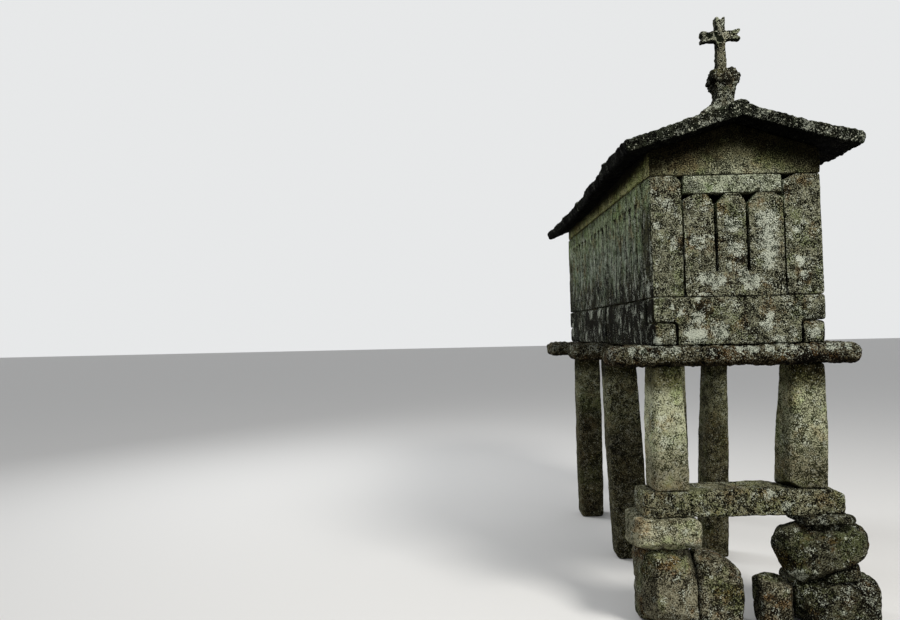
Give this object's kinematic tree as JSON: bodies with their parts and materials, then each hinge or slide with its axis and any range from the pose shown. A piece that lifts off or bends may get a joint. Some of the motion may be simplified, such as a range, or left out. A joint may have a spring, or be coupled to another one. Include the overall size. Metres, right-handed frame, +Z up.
{
  "type": "raised granary",
  "caption": "Raised granary of dry-laid granite: a slotted drying chamber on tapered pillars with projecting cap slabs, a low slab roof with ridge stones, and a stone cross.",
  "frame": {"origin": "on the level floor, under the middle of the whole building's box", "axes": "+X to the right seen from the front gable, +Y from the front gable to the rear, +Z up"},
  "size_m": [2.12, 4.44, 5.057],
  "materials": {
    "wall_granite": "rough weathered granite",
    "plate_granite": "rough weathered granite",
    "roof_granite": "rough weathered granite",
    "cap_granite": "rough weathered granite",
    "pillar_granite": "rough weathered granite",
    "footing_granite": "rough weathered granite"
  },
  "bodies": {
    "root": {"front_sill_beam": "footing_granite", "left_footing_upper_block": "footing_granite", "left_footing_lower_block": "footing_granite", "left_footing_wedge_stone": "footing_granite", "right_footing_packing_stone": "footing_granite", "right_footing_boulder": "footing_granite", "right_footing_chock": "footing_granite", "right_footing_lower_block": "footing_granite", "right_footing_small_stone": "footing_granite", "pillar_front_left": "pillar_granite", "pillar_front_right": "pillar_granite", "pillar_middle_left": "pillar_granite", "pillar_middle_right": "pillar_granite", "pillar_rear_left": "pillar_granite", "pillar_rear_right": "pillar_granite", "cap_slab_front": "cap_granite", "cap_slab_middle": "cap_granite", "cap_slab_rear": "cap_granite", "side_sill_left": "wall_granite", "side_sill_right": "wall_granite", "floor_slabs": "wall_granite", "front_base_block": "wall_granite", "rear_base_block": "wall_granite", "corner_post_front_left": "wall_granite", "corner_post_front_right": "wall_granite", "corner_post_rear_left": "wall_granite", "corner_post_rear_right": "wall_granite", "front_slotted_panel": "wall_granite", "front_lintel": "wall_granite", "rear_slotted_panel": "wall_granite", "rear_lintel": "wall_granite", "side_panel_left_1": "wall_granite", "side_panel_left_2": "wall_granite", "side_panel_left_3": "wall_granite", "side_panel_right_1": "wall_granite", "side_panel_right_2": "wall_granite", "side_panel_right_3": "wall_granite", "front_gable": "plate_granite", "rear_gable": "plate_granite", "wall_plate_left": "plate_granite", "wall_plate_right": "plate_granite", "roof_slabs_left": "roof_granite", "roof_slabs_right": "roof_granite", "ridge_stones": "roof_granite", "cross_pedestal": "roof_granite", "ridge_cross": "roof_granite"}
  },
  "joints": []
}
